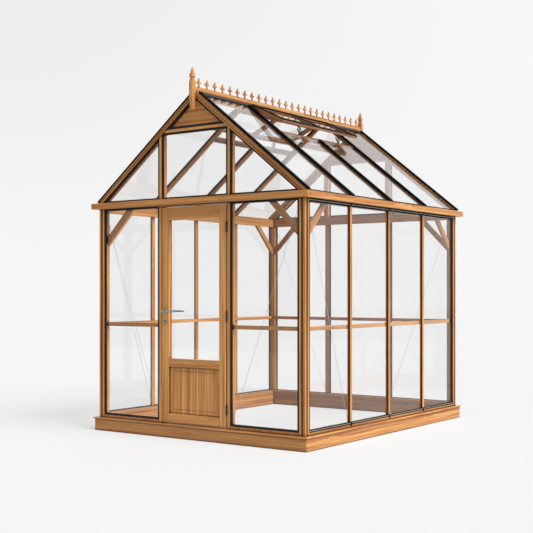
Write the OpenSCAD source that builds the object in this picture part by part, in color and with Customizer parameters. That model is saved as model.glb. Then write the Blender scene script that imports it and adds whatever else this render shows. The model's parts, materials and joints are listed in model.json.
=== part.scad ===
// Timber-framed glass greenhouse with a hinged door, roof vents, ridge cresting and finials.
// Millimetres. Origin at the bottom centre of the plinth, +Z up, the door wall faces -Y.

/* [Plinth] */
// Outer width of the plinth, across the door wall
base_w = 2350; // [2000:10:2850]
// Outer length of the plinth, front to back
base_l = 2850; // [2500:10:3600]
// Height of the plinth boards
plinth_h = 108; // [80:1:160]
// Thickness of the plinth boards
plinth_t = 90; // [80:1:120]
// Thickness of the capping on the plinth
cap_t = 12; // [8:1:20]
// How far the capping stands out past the plinth
cap_over = 12; // [5:1:20]

/* [Walls] */
// Distance from the plinth's outer face in to the wall's outer face
wall_inset = 30; // [20:1:40]
// Depth of the wall timbers
wall_t = 60; // [50:1:70]
// Height of the top of the eave boards
eave_z = 2100; // [1900:10:2300]
// Height of an eave board
eave_h = 53; // [40:1:80]
// How far an eave board stands out past the wall's outer face
eave_out = 54; // [30:1:70]
// Height of the wall plate behind an eave board
plate_h = 85; // [70:1:120]
// Visible height of the bottom rail on the plinth
sill_h = 26; // [20:1:50]
// Face width of a corner post
post_w = 60; // [50:1:80]
// Width of the bead and of each flute on a corner post
flute_w = 20; // [12:1:24]
// Depth of the flutes
flute_d = 8; // [3:1:8]
// Face width of a wall stud
stud_w = 30; // [24:1:45]
// Depth of a wall stud behind the glass
stud_in = 8; // [6:1:16]
// Width of the rebate on each side of a wall stud
stud_stop = 6; // [4:1:12]
// Number of glass bays in each long wall
side_bays = 4; // [3:1:5]
// Height of the middle of the inner rail
rail_z = 985; // [800:5:1200]
// Height of the inner rail
rail_h = 34; // [25:1:50]
// Thickness of the inner rail
rail_t = 18; // [12:1:20]

/* [Glazing] */
// Glass thickness
glass_t = 4; // [3:1:6]
// Face width of a glazing seal
seal_w = 20; // [14:1:26]
// Thickness of a glazing seal
seal_t = 10; // [5:1:14]
// How far a seal lies behind the timber's outer face
seal_recess = 6; // [4:1:16]
// Width of the rebate that backs the glass
stop_w = 12; // [8:1:16]

/* [Roof] */
// Pitch of the roof in degrees
pitch = 38.5; // [32:0.5:44]
// Thickness of the ridge beam
ridge_t = 40; // [30:1:60]
// Depth of the ridge beam
ridge_d = 62; // [60:1:90]
// How far past the wall's outer face the roof glass meets the eave board
roof_out = 17; // [5:1:25]
// Width of a roof bar
bar_w = 30; // [24:1:40]
// Depth of a roof bar below the glass
bar_d = 25; // [20:1:60]
// Width of the metal cap on a roof bar
bar_cap_w = 38; // [26:1:45]
// Thickness of the metal cap on a roof bar
bar_cap_t = 18; // [5:1:20]
// Depth of a rake timber below the roof glass
rake_d = 35; // [28:1:45]
// Height of the rake's upstand above the underside of the roof glass
rake_up = 8; // [6:1:16]
// Width of the rake's upstand, front to back
rake_up_w = 36; // [30:1:45]
// How far a rake stands out past the gable wall's outer face
rake_out = 12; // [8:1:20]
// Thickness of the bead on a rake's face
rake_bead_t = 14; // [8:1:16]
// How far a rake's bead lies below the roof glass
rake_drop = 4; // [2:1:8]
// Depth of the groove along a rake's bead
rake_groove_d = 3; // [1:0.5:5]
// Face width of the gable studs and of the collar
gable_bar_w = 26; // [22:1:36]
// How far the collar's lower corners lie in from the middle of the gable studs
collar_in = 18; // [5:1:60]
// Thickness of the boarded panel above the collar
gable_panel_t = 16; // [10:1:20]
// Width of the timber capping along the ridge
ridge_cap_w = 34; // [24:1:38]
// Height of the capping's top above the peak of the roof bars
ridge_cap_h = 38; // [12:1:45]
// Slope length of the metal flashing on each side of the ridge
flash_w = 60; // [40:1:90]
// Thickness of the metal flashing
flash_t = 8; // [5:1:12]

/* [Cresting] */
// Number of crests along the ridge
crest_n = 25; // [15:1:31]
// Height of one crest above its strip
crest_h = 80; // [50:1:100]
// Width of one crest across its arms
crest_w = 64; // [40:1:80]
// Distance from the first crest to the last
crest_run = 2680; // [2400:5:2690]
// Thickness of the crests
crest_t = 12; // [8:1:18]
// Height of a finial's tip above the peak of the roof bars
finial_up = 213.7; // [150:0.1:260]
// Width of a finial's square body
finial_w = 42; // [30:1:42]
// Length of a finial, from its foot to its tip
finial_l = 378; // [300:2:420]

/* [Vents] */
// Slope distance from the ridge down to the vent cill
vent_cill_u = 447; // [350:5:520]
// Slope length of a roof vent sash
vent_len = 400; // [300:5:470]
// Angle that the vents stand open past the roof's pitch
vent_open = 13.4; // [8:0.2:20]
// Thickness of the vent sash timbers
sash_t = 22; // [18:1:30]
// Face width of the vent sash timbers
sash_w = 40; // [30:1:50]
// Clearance between a sash and the caps beside it
sash_clear = 3; // [2:1:6]
// Slope width of the trimmers above and below a vent
trimmer_w = 40; // [30:1:50]
// Depth of the trimmers below the glass
trimmer_d = 35; // [25:1:45]
// Width of a vent opener's arm
opener_w = 16; // [10:1:24]

/* [Door] */
// Width between the door posts
door_gap = 734; // [660:2:890]
// Offset of the doorway from the middle of the front wall
door_x = -14; // [-40:1:40]
// Width of a door post's face
jamb_w = 30; // [26:1:50]
// Clearance round the door leaf
door_clear = 7; // [6:1:9]
// Height of the door head strip
head_h = 12; // [8:1:20]
// How far the door head strip stands out
head_out = 8; // [4:1:15]
// Thickness of the door leaf
leaf_t = 42; // [36:1:50]
// Face width of the door stiles
stile_w = 78; // [66:1:110]
// Height of the top rail of the door
top_rail_h = 114; // [80:1:140]
// Height of the bottom rail of the door
bottom_rail_h = 86; // [70:1:140]
// Height of the lower panel of the door
door_panel_h = 410; // [300:5:600]
// Thickness of the lower panel of the door
door_panel_t = 14; // [9:1:18]
// Height of the middle rail of the door
mid_rail_h = 72; // [50:1:100]
// Height of the lever handle above the ground
handle_z = 1112; // [900:2:1200]
// Length of the lever
lever_l = 136; // [90:2:150]
// How far the lever stands out from the stile
lever_out = 46; // [35:1:60]
// Thickness of the lever
lever_t = 14; // [10:1:18]
// Diameter of the handle's rose
rose_d = 46; // [40:1:56]
// Thickness of the handle's rose
rose_t = 8; // [5:1:10]
// Diameter of the spindle that joins the two levers
spindle_d = 10; // [8:1:12]
// Running clearance round the spindle
spindle_gap = 0.3; // [0.2:0.1:0.5]
// Distance from the lever down to the keyhole
lock_drop = 85; // [70:1:100]
// Height of one door hinge
hinge_h = 90; // [60:3:120]
// Radius of the hinge knuckles
knuckle_r = 6; // [4:0.5:6]

/* [Bracing] */
// Face width of a knee brace
brace_w = 50; // [35:1:60]
// Thickness of a knee brace
brace_t = 30; // [20:1:32]
// Length of wall post that a knee brace takes in below the plate
brace_drop = 280; // [180:5:320]
// Diameter of the bracing wires
wire_d = 3; // [2:0.5:3]

/* [Hidden] */

// Heights
floor_z = plinth_h + cap_t;
sill_z = floor_z + sill_h;
board_z = eave_z - eave_h;
plate_z = eave_z - plate_h;
front_plate_z = board_z - stop_w;

// Half sizes of the walls' outer faces, and depths of the glazing behind them
hx = base_w / 2 - wall_inset;
hy = base_l / 2 - wall_inset;
glass_d = seal_recess + seal_t;
stop_d = glass_d + glass_t;
stud_d = stop_d + stud_in;

// Roof: a point is given by its distance x from the middle and its height w square to the bars' top plane
apex_z = eave_z + (hx + roof_out) * tan(pitch);
function roof_z(x, w) = apex_z - x * tan(pitch) + w / cos(pitch);
function roof_x(z, w) = (apex_z + w / cos(pitch) - z) / tan(pitch);
// Distance u down the slope of the point at x, and of the point level with the eaves, at height w
function slope_u(x, w) = (x - w * sin(pitch)) / cos(pitch);
function foot_u(w) = slope_u(roof_x(eave_z, w), w);
eave_u = (hx + roof_out) / cos(pitch);
bay_pitch = (wall_l_inner() + stud_w) / side_bays;
function wall_l_inner() = 2 * (hy - post_w);
function bar_y(i) = (i - side_bays / 2) * bay_pitch;
cap_w1 = glass_t + bar_cap_t;
flash_w1 = glass_t + flash_t;

rake_groove = [-rake_d * 0.72, -rake_d * 0.48];

// Doorway and gable studs
door_x0 = door_x - door_gap / 2;
door_x1 = door_x + door_gap / 2;
stud_x = door_gap / 2 + jamb_w / 2;
collar_z = roof_z(stud_x - collar_in, -rake_d);
leaf_x0 = door_x0 + door_clear;
leaf_x1 = door_x1 - door_clear;
leaf_z0 = floor_z + door_clear;
leaf_z1 = front_plate_z - door_clear;
mid_rail_z = leaf_z0 + bottom_rail_h + door_panel_h;
hinge_axis_x = door_x1 - door_clear / 2;

// Vents
pivot_u = flash_w + 4;
vent_half = bay_pitch - bar_cap_w / 2 - sash_clear;

timber = "peru";
dark = "dimgray";
pane = [0.8, 0.88, 0.88, 0.35];
eps = 0.01;

// ---- frames of reference ----

// Puts a piece drawn on the front wall (x along it, y its depth inwards) on each wall
module on_front() { translate([0, -hy, 0]) children(); }
module on_back() { translate([0, hy, 0]) rotate(180) children(); }
module on_left() { translate([-hx, 0, 0]) rotate(-90) children(); }
module on_right() { translate([hx, 0, 0]) rotate(90) children(); }

// Both long walls or both slopes: the second is the mirror image of the first
module both_sides() {
    children();
    mirror([1, 0, 0]) children();
}
module both_ends() {
    children();
    mirror([0, 1, 0]) children();
}

// A block between two corners
module block(x, y, z) { translate([x[0], y[0], z[0]]) cube([x[1] - x[0], y[1] - y[0], z[1] - z[0]]); }

// An outline in x and z, drawn out from depth y[0] to y[1]
module upright_plate(y, points) {
    translate([0, y[1], eave_z]) rotate([90, 0, 0]) linear_extrude(y[1] - y[0])
        polygon([for (p = points) [p[0], p[1] - eave_z]]);
}

// An outline in distance u down the right slope and height w above the bars, drawn out along the ridge
module slope_plate(y, points) {
    translate([0, y[1], apex_z]) rotate([90, 0, 0]) rotate(-pitch) linear_extrude(y[1] - y[0]) polygon(points);
}
function box2(a, b) = [[a[0], b[0]], [a[1], b[0]], [a[1], b[1]], [a[0], b[1]]];

// One side of a rectangular ring with mitred ends, on the front
module mitred_side(half_x, half_y, width, z) {
    translate([0, 0, z[0]]) linear_extrude(z[1] - z[0]) polygon([
        [-half_x, -half_y], [half_x, -half_y], [half_x - width, -half_y + width], [-half_x + width, -half_y + width]
    ]);
}

// ---- plinth ----

module plinth_side(half_x, half_y) {
    color(timber) {
        mitred_side(half_x, half_y, plinth_t, [0, plinth_h]);
        mitred_side(half_x + cap_over, half_y + cap_over, plinth_t + cap_over, [plinth_h, floor_z]);
    }
}
module plinth_front() { plinth_side(base_w / 2, base_l / 2); }
module plinth_back() { rotate(180) plinth_front(); }
module plinth_right() { rotate(90) plinth_side(base_l / 2, base_w / 2); }
module plinth_left() { rotate(180) plinth_right(); }

// ---- wall timbers ----

// A bottom rail between two posts whose faces are at x[0] and x[1]
module sill(x) {
    block(x, [0, wall_t], [floor_z, sill_z]);
    block([x[0] + stop_w, x[1] - stop_w], [stop_d, wall_t], [sill_z, sill_z + stop_w]);
}
module sill_rails() {
    color(timber) {
        on_front() {
            sill([-hx + post_w, door_x0 - jamb_w]);
            sill([door_x1 + jamb_w, hx - post_w]);
        }
        on_back() sill([-hx + post_w, hx - post_w]);
        on_left() sill([-hy + post_w, hy - post_w]);
        on_right() sill([-hy + post_w, hy - post_w]);
    }
}

// A corner post: bead at the corner, a flute on each face, and rebates behind the glass
module corner_post() {
    bead = (post_w - flute_w) / 2;
    difference() {
        union() {
            block([0, post_w], [0, wall_t], [floor_z, plate_z]);
            block([0, wall_t], [0, post_w], [floor_z, plate_z]);
            block([0, stop_d], [0, post_w], [plate_z, board_z]);
            block([0, post_w], [0, stop_d], [plate_z, board_z]);
        }
        block([bead, bead + flute_w], [-eps, flute_d], [floor_z - eps, board_z + eps]);
        block([-eps, flute_d], [bead, bead + flute_w], [floor_z - eps, board_z + eps]);
    }
    block([post_w, post_w + stop_w], [stop_d, wall_t], [sill_z, plate_z]);
    block([stop_d, wall_t], [post_w, post_w + stop_w], [sill_z, plate_z]);
}
module corner_posts() {
    color(timber) {
        both_sides() both_ends() translate([-hx, -hy, 0]) corner_post();
    }
}

// A door post: rebated for the side glass, with a stop behind the door leaf
module door_post() {
    block([-jamb_w, 0], [0, wall_t], [floor_z, front_plate_z]);
    block([-jamb_w - stop_w, -jamb_w], [stop_d, wall_t], [sill_z, front_plate_z]);
    block([0, stop_w], [leaf_t + door_clear, wall_t], [floor_z, front_plate_z]);
}
module door_posts() {
    color(timber) on_front() {
        translate([door_x0, 0, 0]) door_post();
        translate([door_x1, 0, 0]) mirror([1, 0, 0]) door_post();
    }
}
module door_head() {
    color(timber) on_front()
        block([door_x0 - jamb_w, door_x1 + jamb_w], [-head_out, stop_d], [front_plate_z, board_z]);
}

// A stud between two panes, centred on x
module stud(x) {
    block([x - stud_w / 2, x + stud_w / 2], [0, stop_d], [sill_z, board_z]);
    block([x - stud_w / 2 - stud_stop, x + stud_w / 2 + stud_stop], [stop_d, stud_d], [sill_z + stop_w, plate_z]);
}
module wall_studs() {
    color(timber) {
        on_back() for (side = [-1, 1]) stud(side * stud_x);
        both_sides() on_left() for (i = [1 : side_bays - 1]) stud(bar_y(i));
    }
}

// The rail behind the studs, between two posts whose faces are at x[0] and x[1]
module inner_rail(x) {
    block([x[0] + stop_w, x[1] - stop_w], [stud_d, stud_d + rail_t], [rail_z - rail_h / 2, rail_z + rail_h / 2]);
}
module inner_rails() {
    color(timber) {
        on_front() {
            inner_rail([-hx + post_w, door_x0 - jamb_w]);
            inner_rail([door_x1 + jamb_w, hx - post_w]);
        }
        on_back() inner_rail([-hx + post_w, hx - post_w]);
        both_sides() on_left() inner_rail([-hy + post_w, hy - post_w]);
    }
}

// A knee brace from a corner post up to the plate above it
module knee_brace(top_z) {
    x0 = post_w + stop_w;
    diagonal = brace_w * sqrt(2);
    low = top_z - brace_drop - diagonal / 2;
    upright_plate([wall_t - brace_t, wall_t], [
        [x0, low], [x0, low + diagonal], [x0 + top_z - low - diagonal, top_z], [x0 + top_z - low, top_z]
    ]);
}
module wall_braces(half, top_z) { both_sides() translate([-half, 0, 0]) knee_brace(top_z); }
module knee_braces() {
    color(timber) {
        on_front() wall_braces(hx, front_plate_z);
        on_back() wall_braces(hx, plate_z);
        on_left() wall_braces(hy, plate_z);
        on_right() wall_braces(hy, plate_z);
    }
}

// ---- eaves ----

module eave_side(half_x, half_y, low_z) {
    color(timber) {
        mitred_side(half_x + eave_out, half_y + eave_out, eave_out + stop_d, [board_z, eave_z]);
        mitred_side(half_x - stop_d, half_y - stop_d, wall_t - stop_d, [low_z, eave_z]);
    }
}
module eave_front() { eave_side(hx, hy, front_plate_z); }
module eave_back() { rotate(180) eave_side(hx, hy, plate_z); }
module eave_right() { rotate(90) eave_side(hy, hx, plate_z); }
module eave_left() { rotate(180) eave_right(); }

// ---- gables ----

// Outline on the slope between two heights w, cut upright at x and level at the eaves
function slope_strip(x, w0, w1) = [
    [slope_u(x, w1), w1], [foot_u(w1), w1], [foot_u(w0), w0], [slope_u(x, w0), w0]
];
// A strip of a rake between two heights w, long enough to be cut at both ends
module rake_strip(y, w) { slope_plate(y, box2([0, eave_u + rake_d], w)); }
module rake() {
    bead_y = rake_bead_t - rake_out;
    intersection() {
        union() {
            difference() {
                rake_strip([-rake_out, bead_y], [-rake_d, -rake_drop]);
                rake_strip([-rake_out - eps, rake_groove_d - rake_out], rake_groove);
            }
            rake_strip([bead_y, bead_y + rake_up_w], [-rake_d, rake_up]);
            rake_strip([bead_y + rake_up_w, wall_t], [-rake_d, 0]);
            rake_strip([stop_d, wall_t], [-rake_d - stop_w, -rake_d]);
        }
        // Cut upright against the ridge beam and level on the eaves
        translate([ridge_t / 2, -rake_out - eps, eave_z])
            cube([hx + roof_out, rake_out + wall_t + 2 * eps, apex_z - eave_z]);
    }
}
module rakes_front() { color(timber) on_front() both_sides() rake(); }
module rakes_back() { color(timber) on_back() both_sides() rake(); }

// A gable stud centred on x: its head follows the rake
module gable_stud(x) {
    for (part = [[gable_bar_w / 2, 0, rake_d, 0], [gable_bar_w / 2 + stop_w, stop_d, rake_d + stop_w, stop_w]])
        upright_plate([part[1], part[1] == 0 ? stop_d : wall_t], [
            [x - part[0], eave_z], [x + part[0], eave_z],
            [x + part[0], min(roof_z(abs(x + part[0]), -part[2]), collar_z - part[3])],
            [x - part[0], min(roof_z(abs(x - part[0]), -part[2]), collar_z - part[3])]
        ]);
}
module gable_studs() {
    color(timber) {
        on_front() for (side = [-1, 1]) gable_stud(door_x + side * stud_x);
        on_back() for (side = [-1, 1]) gable_stud(side * stud_x);
    }
}

// The strip between the rakes from height z0 to z1, shrunk by s below the rakes
function under_rakes(z0, z1, s) = [
    [-roof_x(z0, -rake_d - s), z0], [roof_x(z0, -rake_d - s), z0],
    [roof_x(z1, -rake_d - s), z1], [-roof_x(z1, -rake_d - s), z1]
];
collar_top = collar_z + gable_bar_w;
panel_clear = 0.2;
panel_top = min(roof_z(ridge_t / 2, -rake_d), apex_z - ridge_d);
module gable_collar() {
    upright_plate([0, stop_d], under_rakes(collar_z, collar_top, 0));
    upright_plate([stop_d, wall_t], under_rakes(collar_z - stop_w, collar_top + stop_w, stop_w));
}
module gable_collars() { color(timber) both_ends() on_front() gable_collar(); }

// The boarded triangle above the collar, a hair clear of the rakes
module gable_panel() {
    upright_plate([glass_d, stop_d], under_rakes(collar_top, panel_top, panel_clear));
    upright_plate([stop_d, glass_d + gable_panel_t],
        under_rakes(collar_top + stop_w, panel_top - stop_w, stop_w + panel_clear));
}
module gable_panels() { color(timber) both_ends() on_front() gable_panel(); }

// ---- ridge ----

module ridge_beam() {
    half = ridge_t / 2;
    color(timber) upright_plate([-hy - rake_out, hy + rake_out], [
        [-half, apex_z - ridge_d], [half, apex_z - ridge_d], [half, roof_z(half, 0)], [0, apex_z],
        [-half, roof_z(half, 0)]
    ]);
}
roof_y = hy + rake_out - rake_bead_t - rake_up_w;
ridge_u = ridge_cap_w / 2 / cos(pitch);
module ridge_flashing() {
    half = ridge_cap_w / 2;
    color(dark) both_sides() slope_plate([-roof_y, roof_y], [
        [slope_u(half, glass_t), glass_t], [slope_u(half, flash_w1), flash_w1], [flash_w, flash_w1], [flash_w, glass_t]
    ]);
}
module ridge_capping() {
    half = ridge_cap_w / 2;
    color(timber) upright_plate([-hy - rake_out, hy + rake_out], [
        [-half, roof_z(half, glass_t)], [0, roof_z(0, glass_t)], [half, roof_z(half, glass_t)],
        [half, apex_z + ridge_cap_h], [-half, apex_z + ridge_cap_h]
    ]);
}

// One crest: a stem with a pointed leaf and two arms
module crest() {
    a = crest_w / 2;
    h = crest_h;
    polygon([
        [-0.22 * a, 0], [0.22 * a, 0], [0.16 * a, 0.3 * h], [0.6 * a, 0.36 * h], [a, 0.56 * h],
        [0.5 * a, 0.54 * h], [0.22 * a, 0.6 * h], [0.36 * a, 0.76 * h], [0, h],
        [-0.36 * a, 0.76 * h], [-0.22 * a, 0.6 * h], [-0.5 * a, 0.54 * h], [-a, 0.56 * h],
        [-0.6 * a, 0.36 * h], [-0.16 * a, 0.3 * h]
    ]);
}
module ridge_cresting() {
    strip_h = 4;
    gap = crest_run / (crest_n - 1);
    color(timber) translate([-crest_t / 2, 0, apex_z + ridge_cap_h]) rotate([90, 0, 90]) linear_extrude(crest_t) {
        translate([-crest_run / 2 - crest_w / 2, 0]) square([crest_run + crest_w, strip_h]);
        for (i = [0 : crest_n - 1]) translate([-crest_run / 2 + i * gap, strip_h]) crest();
    }
}

// A square spike turned from its half width at each height, tip uppermost
module finial() {
    r = finial_w / sqrt(2);
    l = finial_l;
    color(timber) translate([0, 0, apex_z + finial_up - l]) rotate(45) rotate_extrude($fn = 4) polygon([
        [0, 0], [0.7 * r, 0], [0.86 * r, 0.255 * l], [r, 0.265 * l], [r, 0.63 * l], [0.74 * r, 0.705 * l],
        [0.62 * r, 0.71 * l], [0.62 * r, 0.735 * l], [1.05 * r, 0.75 * l], [0, l]
    ]);
}
module finials() {
    both_ends() translate([0, -hy - rake_out - finial_w / 2, 0]) finial();
}

// ---- roof ----

module slope_bar(y, x) { slope_plate([y - bar_w / 2, y + bar_w / 2], slope_strip(x, -bar_d, 0)); }
function is_vent_bay(i) = abs(bar_y(i)) < bay_pitch - 1;
module rafters() {
    color(timber) both_sides() for (i = [1 : side_bays - 1])
        slope_bar(bar_y(i), is_vent_bay(i) ? (vent_cill_u + trimmer_w + bar_d) * cos(pitch) : ridge_t / 2);
}
module roof_bar_caps() {
    color(dark) both_sides() {
        for (i = [1 : side_bays - 1])
            slope_plate([bar_y(i) - bar_cap_w / 2, bar_y(i) + bar_cap_w / 2],
                box2([is_vent_bay(i) ? vent_cill_u + trimmer_w : flash_w, eave_u], [glass_t, cap_w1]));
        both_ends() slope_plate([-roof_y - rake_up_w, -roof_y], box2([ridge_t, eave_u], [rake_up, rake_up + bar_cap_t]));
    }
}
module roof_glass() {
    joint = 4;
    color(pane) both_sides() for (i = [0 : side_bays - 1]) {
        y0 = i == 0 ? -roof_y : bar_y(i) + joint / 2;
        y1 = i == side_bays - 1 ? roof_y : bar_y(i + 1) - joint / 2;
        vented = y0 > -bay_pitch && y1 < bay_pitch;
        slope_plate([y0, y1], box2([vented ? vent_cill_u + trimmer_w : ridge_u + glass_t * tan(pitch), eave_u], [0, glass_t]));
    }
}

// ---- roof vents ----

module vent_trimmers() {
    half = bay_pitch - bar_w / 2;
    color(timber) both_sides() {
        slope_plate([-half, half], box2([vent_cill_u, vent_cill_u + trimmer_w], [-trimmer_d, glass_t]));
        slope_plate([-half, half], box2([ridge_u + trimmer_d, ridge_u + trimmer_d + trimmer_w], [-trimmer_d, 0]));
    }
}

// Puts a piece drawn in the sash's own plane, hinge line at u = 0, on the open right vent
module on_sash() {
    translate([0, 0, apex_z]) rotate([0, pitch, 0]) translate([pivot_u, 0, 0]) rotate([0, -vent_open, 0]) children();
}
module vent_sashes() {
    mid = [-sash_w / 2, sash_w / 2];
    color(timber) both_sides() on_sash() difference() {
        block([0, vent_len], [-vent_half, vent_half], [0, sash_t]);
        for (side = [[-vent_half + sash_w, mid[0]], [mid[1], vent_half - sash_w]])
            block([sash_w, vent_len - sash_w], side, [-eps, sash_t + eps]);
    }
}
module vent_glass() {
    lift = sash_t - 2 * glass_t;
    color(pane) both_sides() on_sash()
        for (side = [[-vent_half + sash_w, -sash_w / 2], [sash_w / 2, vent_half - sash_w]])
            block([sash_w, vent_len - sash_w], side, [lift, lift + glass_t]);
}

// An opener's arm from the lower trimmer up to the sash's bottom rail
module vent_openers() {
    foot = vent_cill_u + trimmer_w / 2;
    head = pivot_u + (vent_len - sash_w / 2) * cos(vent_open);
    color("black") both_sides() for (side = [-1, 1])
        slope_plate([side * bay_pitch / 2 - opener_w / 2, side * bay_pitch / 2 + opener_w / 2], [
            [foot - 12, glass_t], [foot + 12, glass_t],
            [head + 7, (head + 7 - pivot_u) * tan(vent_open)], [head - 7, (head - 7 - pivot_u) * tan(vent_open)]
        ]);
}

// ---- glass and seals ----

// Edges of the bays along a wall: pairs of timber faces
front_bays = [[-hx + post_w, door_x0 - jamb_w], [door_x1 + jamb_w, hx - post_w]];
back_bays = [
    [-hx + post_w, -stud_x - stud_w / 2], [-stud_x + stud_w / 2, stud_x - stud_w / 2],
    [stud_x + stud_w / 2, hx - post_w]
];
side_bay_list = [for (i = [0 : side_bays - 1]) [
    i == 0 ? -hy + post_w : bar_y(i) + stud_w / 2, i == side_bays - 1 ? hy - post_w : bar_y(i + 1) - stud_w / 2
]];
module panes(bays, top_z) {
    color(pane) for (x = bays) block(x, [glass_d, stop_d], [sill_z, top_z]);
}
module wall_glass_front() { on_front() panes(front_bays, board_z); }
module wall_glass_back() { on_back() panes(back_bays, board_z); }
module wall_glass_left() { on_left() panes(side_bay_list, board_z); }
module wall_glass_right() { on_right() panes(side_bay_list, board_z); }

module bay_seals(bays) {
    for (x = bays) difference() {
        block(x, [seal_recess, glass_d], [sill_z, board_z]);
        block([x[0] + seal_w, x[1] - seal_w], [seal_recess - eps, glass_d + eps], [sill_z + seal_w, board_z - seal_w]);
    }
}
module wall_seals() {
    color(dark) {
        on_front() bay_seals(front_bays);
        on_back() bay_seals(back_bays);
        both_sides() on_left() bay_seals(side_bay_list);
    }
}

// Outlines of the gable's bays, shrunk by s inside their timbers, for studs centred on x0 and x1
function gable_side_bay(x, s) = concat(
    [[roof_x(eave_z + s, -rake_d - s), eave_z + s], [x + s, eave_z + s]],
    roof_z(x + s, -rake_d - s) > collar_z - s
        ? [[x + s, collar_z - s], [roof_x(collar_z - s, -rake_d - s), collar_z - s]]
        : [[x + s, roof_z(x + s, -rake_d - s)]]
);
function gable_mid_bay(x0, x1, s) = [
    [x0 + s, eave_z + s], [x1 - s, eave_z + s], [x1 - s, min(roof_z(abs(x1 - s), -rake_d - s), collar_z - s)],
    [min(x1 - s, roof_x(collar_z - s, -rake_d - s)), collar_z - s],
    [max(x0 + s, -roof_x(collar_z - s, -rake_d - s)), collar_z - s],
    [x0 + s, min(roof_z(abs(x0 + s), -rake_d - s), collar_z - s)]
];
module gable_bays(y, centre, s) {
    edge = stud_x + gable_bar_w / 2;
    inner = stud_x - gable_bar_w / 2;
    upright_plate(y, gable_side_bay(centre + edge, s));
    mirror([1, 0, 0]) upright_plate(y, gable_side_bay(edge - centre, s));
    upright_plate(y, gable_mid_bay(centre - inner, centre + inner, s));
}
module gable_glass() {
    color(pane) {
        on_front() gable_bays([glass_d, stop_d], door_x, 0);
        on_back() gable_bays([glass_d, stop_d], 0, 0);
    }
}
module gable_end_seals(centre) {
    difference() {
        union() {
            gable_bays([seal_recess, glass_d], centre, 0);
            upright_plate([seal_recess, glass_d], under_rakes(collar_top, panel_top, 0));
        }
        gable_bays([seal_recess - eps, glass_d + eps], centre, seal_w);
        upright_plate([seal_recess - eps, glass_d + eps],
            under_rakes(collar_top + seal_w, panel_top - seal_w, seal_w));
    }
}
module gable_seals() {
    color(dark) {
        on_front() gable_end_seals(door_x);
        on_back() gable_end_seals(0);
    }
}

// ---- bracing wires ----

// A taut wire from the top of a corner post to the foot of the next timber, x1 being that timber's rebate
module bracing_wire(x1) {
    x0 = post_w + stop_w;
    a = [x0 - 1, plate_z - 20];
    b = [x1 + 1, sill_z + 2 * stop_w];
    run = b - a;
    y = stop_d + stud_in / 2;
    intersection() {
        translate([a[0], y, a[1]]) rotate([0, atan2(run[0], run[1]), 0]) cylinder(h = norm(run), d = wire_d);
        block([x0, x1], [stop_d, wall_t], [sill_z, plate_z]);
    }
}
module bracing_wires() {
    color("silver") {
        on_front() {
            translate([-hx, 0, 0]) bracing_wire(hx + door_x0 - jamb_w - stop_w);
            mirror([1, 0, 0]) translate([-hx, 0, 0]) bracing_wire(hx - door_x1 - jamb_w - stop_w);
        }
        on_back() both_sides() translate([-hx, 0, 0]) bracing_wire(hx - stud_x - stud_w / 2 - stud_stop);
        both_sides() on_right() translate([-hy, 0, 0]) bracing_wire(hy + bar_y(1) - stud_w / 2 - stud_stop);
    }
}

// ---- door ----

module door_stiles() {
    color(timber) {
        difference() {
            on_front() block([leaf_x0, leaf_x0 + stile_w], [0, leaf_t], [leaf_z0, leaf_z1]);
            on_spindle() translate([0, 0, -leaf_t - eps])
                cylinder(h = leaf_t + 2 * eps, d = spindle_d + 2 * spindle_gap);
        }
        on_front() block([leaf_x1 - stile_w, leaf_x1], [0, leaf_t], [leaf_z0, leaf_z1]);
    }
}
leaf_in = [leaf_x0 + stile_w, leaf_x1 - stile_w];
module door_rails() {
    color(timber) on_front()
        for (z = [
            [leaf_z0, leaf_z0 + bottom_rail_h], [mid_rail_z, mid_rail_z + mid_rail_h], [leaf_z1 - top_rail_h, leaf_z1]
        ])
            block(leaf_in, [0, leaf_t], z);
}
module door_panel() {
    y = (leaf_t - door_panel_t) / 2;
    color(timber) on_front() block(leaf_in, [y, y + door_panel_t], [leaf_z0 + bottom_rail_h, mid_rail_z]);
}
module door_glass() {
    y = (leaf_t - glass_t) / 2;
    color(pane) on_front() block(leaf_in, [y, y + glass_t], [mid_rail_z + mid_rail_h, leaf_z1 - top_rail_h]);
}

// Puts what is drawn round the lever's spindle, +Z outwards, on the stile's outer face
module on_spindle() { on_front() translate([leaf_x0 + stile_w / 2, 0, handle_z]) rotate([90, 0, 0]) children(); }

// Puts a piece drawn on the outer face on the inner face too
module both_faces() {
    children();
    translate([0, 0, -leaf_t]) mirror([0, 0, 1]) children();
}
module disc_with_hole(h, d, hole_d) {
    difference() {
        cylinder(h = h, d = d);
        translate([0, 0, -eps]) cylinder(h = h + 2 * eps, d = hole_d);
    }
}
module door_roses() {
    color("gray") on_spindle() both_faces() {
        disc_with_hole(rose_t, rose_d, lever_t + 2 * spindle_gap);
        translate([0, -lock_drop, 0]) disc_with_hole(rose_t, rose_d * 0.8, spindle_d);
    }
}
module door_levers() {
    color("gray") on_spindle() {
        both_faces() {
            cylinder(h = lever_out, d = lever_t);
            translate([-lever_t / 2, -lever_t / 2, lever_out - lever_t / 2])
                cube([lever_l + lever_t / 2, lever_t, lever_t]);
        }
        translate([0, 0, -leaf_t]) cylinder(h = leaf_t, d = spindle_d);
    }
}

hinge_heights = [leaf_z0 + 0.082 * (leaf_z1 - leaf_z0), (leaf_z0 + leaf_z1) / 2, leaf_z1 - 0.1 * (leaf_z1 - leaf_z0)];
hinge_gap = 0.4;
plate_t = 2;
module knuckle(z) {
    translate([hinge_axis_x, -knuckle_r, z[0]]) cylinder(h = z[1] - z[0], r = knuckle_r);
}

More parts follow.
